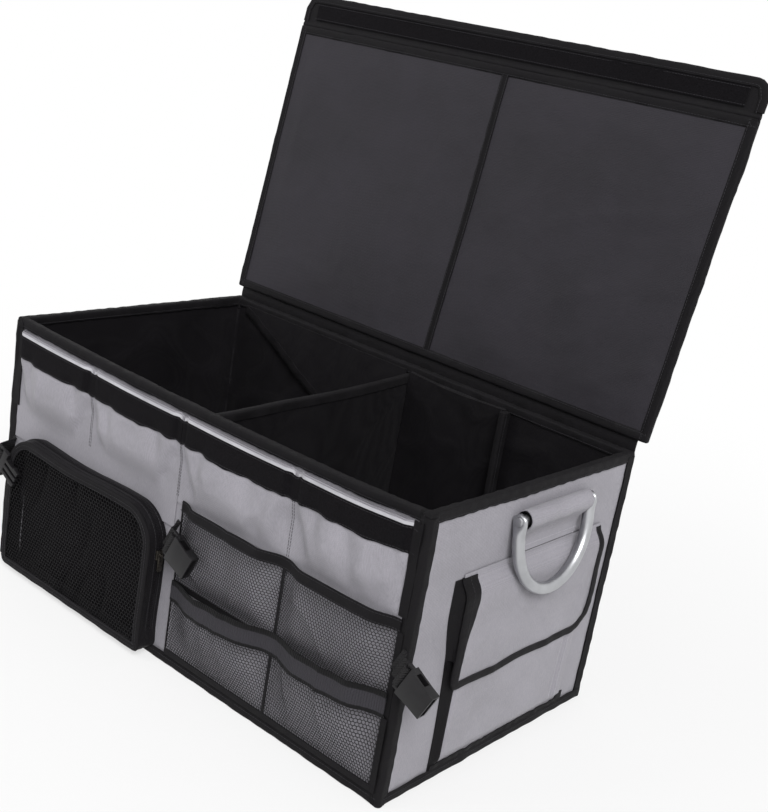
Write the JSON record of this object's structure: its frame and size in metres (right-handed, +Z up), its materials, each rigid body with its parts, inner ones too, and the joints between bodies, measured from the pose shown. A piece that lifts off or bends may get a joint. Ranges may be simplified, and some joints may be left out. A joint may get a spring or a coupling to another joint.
{
  "type": "car trunk organizer",
  "caption": "Folding fabric car trunk organizer: board-stiffened box, hinged lid, front pockets, zipped mesh pouch, buckles and D-handles.",
  "frame": {"origin": "centre of the box's base, on the floor", "axes": "+X to the right seen from the front, +Y to the rear where the lid is hinged, +Z up"},
  "size_m": [0.6651, 0.437, 0.674],
  "materials": {
    "grey_oxford": "coated woven cloth, soft sheen",
    "black_oxford": "coated woven cloth, soft sheen",
    "binding_tape": "ribbed woven tape, matt",
    "stiffener_board": "plain board",
    "pocket_mesh": "knitted net",
    "loop_tape": "brushed loop and hook tape, matt",
    "reflective_tape": "silver glass-bead tape, satin",
    "elastic_band": "grey woven elastic with black edges",
    "zip_tape": "woven tape with a coil of teeth",
    "zip_metal": "black enamel",
    "webbing": "ribbed woven webbing",
    "buckle_plastic": "moulded, fine satin texture",
    "handle_aluminium": "satin anodised"
  },
  "bodies": {
    "box": {"bottom_panel": "black_oxford", "front_skin": "grey_oxford", "rear_skin": "grey_oxford", "left_skin": "grey_oxford", "right_skin": "grey_oxford", "front_board_left": "stiffener_board", "front_board_right": "stiffener_board", "rear_board_left": "stiffener_board", "rear_board_right": "stiffener_board", "side_board_left": "stiffener_board", "side_board_right": "stiffener_board", "lining": "black_oxford", "rim_binding": "binding_tape", "edge_binding": "binding_tape", "floor_board_left": "black_oxford", "floor_board_right": "black_oxford", "centre_divider": "black_oxford", "divider_binding": "binding_tape", "stowed_divider_right": "black_oxford", "stowed_divider_left": "black_oxford", "upper_pockets_left": "grey_oxford", "upper_pockets_right": "grey_oxford", "loop_band_left": "loop_tape", "loop_band_right": "loop_tape", "reflective_strip": "reflective_tape", "mesh_pockets_upper": "pocket_mesh", "mesh_pockets_lower": "pocket_mesh", "mesh_binding_upper": "binding_tape", "mesh_elastic_lower": "elastic_band", "pouch_gusset": "black_oxford", "pouch_piping": "binding_tape", "pouch_mesh": "pocket_mesh", "zip_chain": "zip_tape", "strap_loop_left": "webbing", "strap_loop_middle": "webbing", "strap_loop_right": "webbing", "handle_sleeve_right": "grey_oxford", "handle_sleeve_left": "grey_oxford", "side_pocket": "grey_oxford", "side_flap": "grey_oxford", "side_flap_binding": "binding_tape", "lid_hinge_hem": "binding_tape"},
    "lid": {"lid_lining": "black_oxford", "lid_cover": "grey_oxford", "lid_board_left": "stiffener_board", "lid_board_right": "stiffener_board", "lid_binding": "binding_tape", "lid_seam_tape": "binding_tape", "lid_flap_seam": "binding_tape"},
    "lid_flap": {"lid_flap": "black_oxford", "lid_flap_hook": "loop_tape"},
    "handle_right": {"handle_bow_right": "handle_aluminium", "handle_rod_right": "handle_aluminium"},
    "handle_left": {"handle_bow_left": "handle_aluminium", "handle_rod_left": "handle_aluminium"},
    "buckle_left": {"buckle_left": "buckle_plastic"},
    "buckle_middle": {"buckle_middle": "buckle_plastic"},
    "buckle_right": {"buckle_right": "buckle_plastic"},
    "zip_slider": {"zip_slider": "zip_metal"},
    "zip_pull": {"zip_pull": "zip_metal"}
  },
  "joints": [
    {"name": "lid_hinge", "type": "hinge", "parent": "box", "child": "lid", "pos_m": [0.002, 0.1699, 0.2945], "axis": [-1, 0, 0], "range_deg": [-100, 115]},
    {"name": "lid_flap_fold", "type": "hinge", "parent": "lid", "child": "lid_flap", "pos_m": [0.002, 0.23071, 0.63938], "axis": [1, 0, 0], "range_deg": [0, 90]},
    {"name": "handle_right_swing", "type": "hinge", "parent": "box", "child": "handle_right", "pos_m": [0.3087, 0.02, 0.26], "axis": [0, -1, 0], "range_deg": [0, 150]},
    {"name": "handle_left_swing", "type": "hinge", "parent": "box", "child": "handle_left", "pos_m": [-0.3087, 0.02, 0.26], "axis": [0, 1, 0], "range_deg": [0, 155]},
    {"name": "buckle_left_swing", "type": "hinge", "parent": "box", "child": "buckle_left", "pos_m": [-0.27931, -0.1951, 0.13308], "axis": [-0.4226, 0, -0.9063], "range_deg": [0, 120]},
    {"name": "buckle_middle_swing", "type": "hinge", "parent": "box", "child": "buckle_middle", "pos_m": [0.00469, -0.1844, 0.14408], "axis": [-0.4226, 0, -0.9063], "range_deg": [0, 120]},
    {"name": "buckle_right_swing", "type": "hinge", "parent": "box", "child": "buckle_right", "pos_m": [0.30969, -0.1804, 0.14608], "axis": [-0.4226, 0, -0.9063], "range_deg": [0, 120]},
    {"name": "zip_slide", "type": "slide", "parent": "box", "child": "zip_slider", "axis": [0, 0, -1], "range_m": [0, 0.078]},
    {"name": "zip_pull_swing", "type": "hinge", "parent": "zip_slider", "child": "zip_pull", "pos_m": [-0.0143, -0.178, 0.12], "axis": [0, -1, 0], "range_deg": [0, 100]}
  ]
}
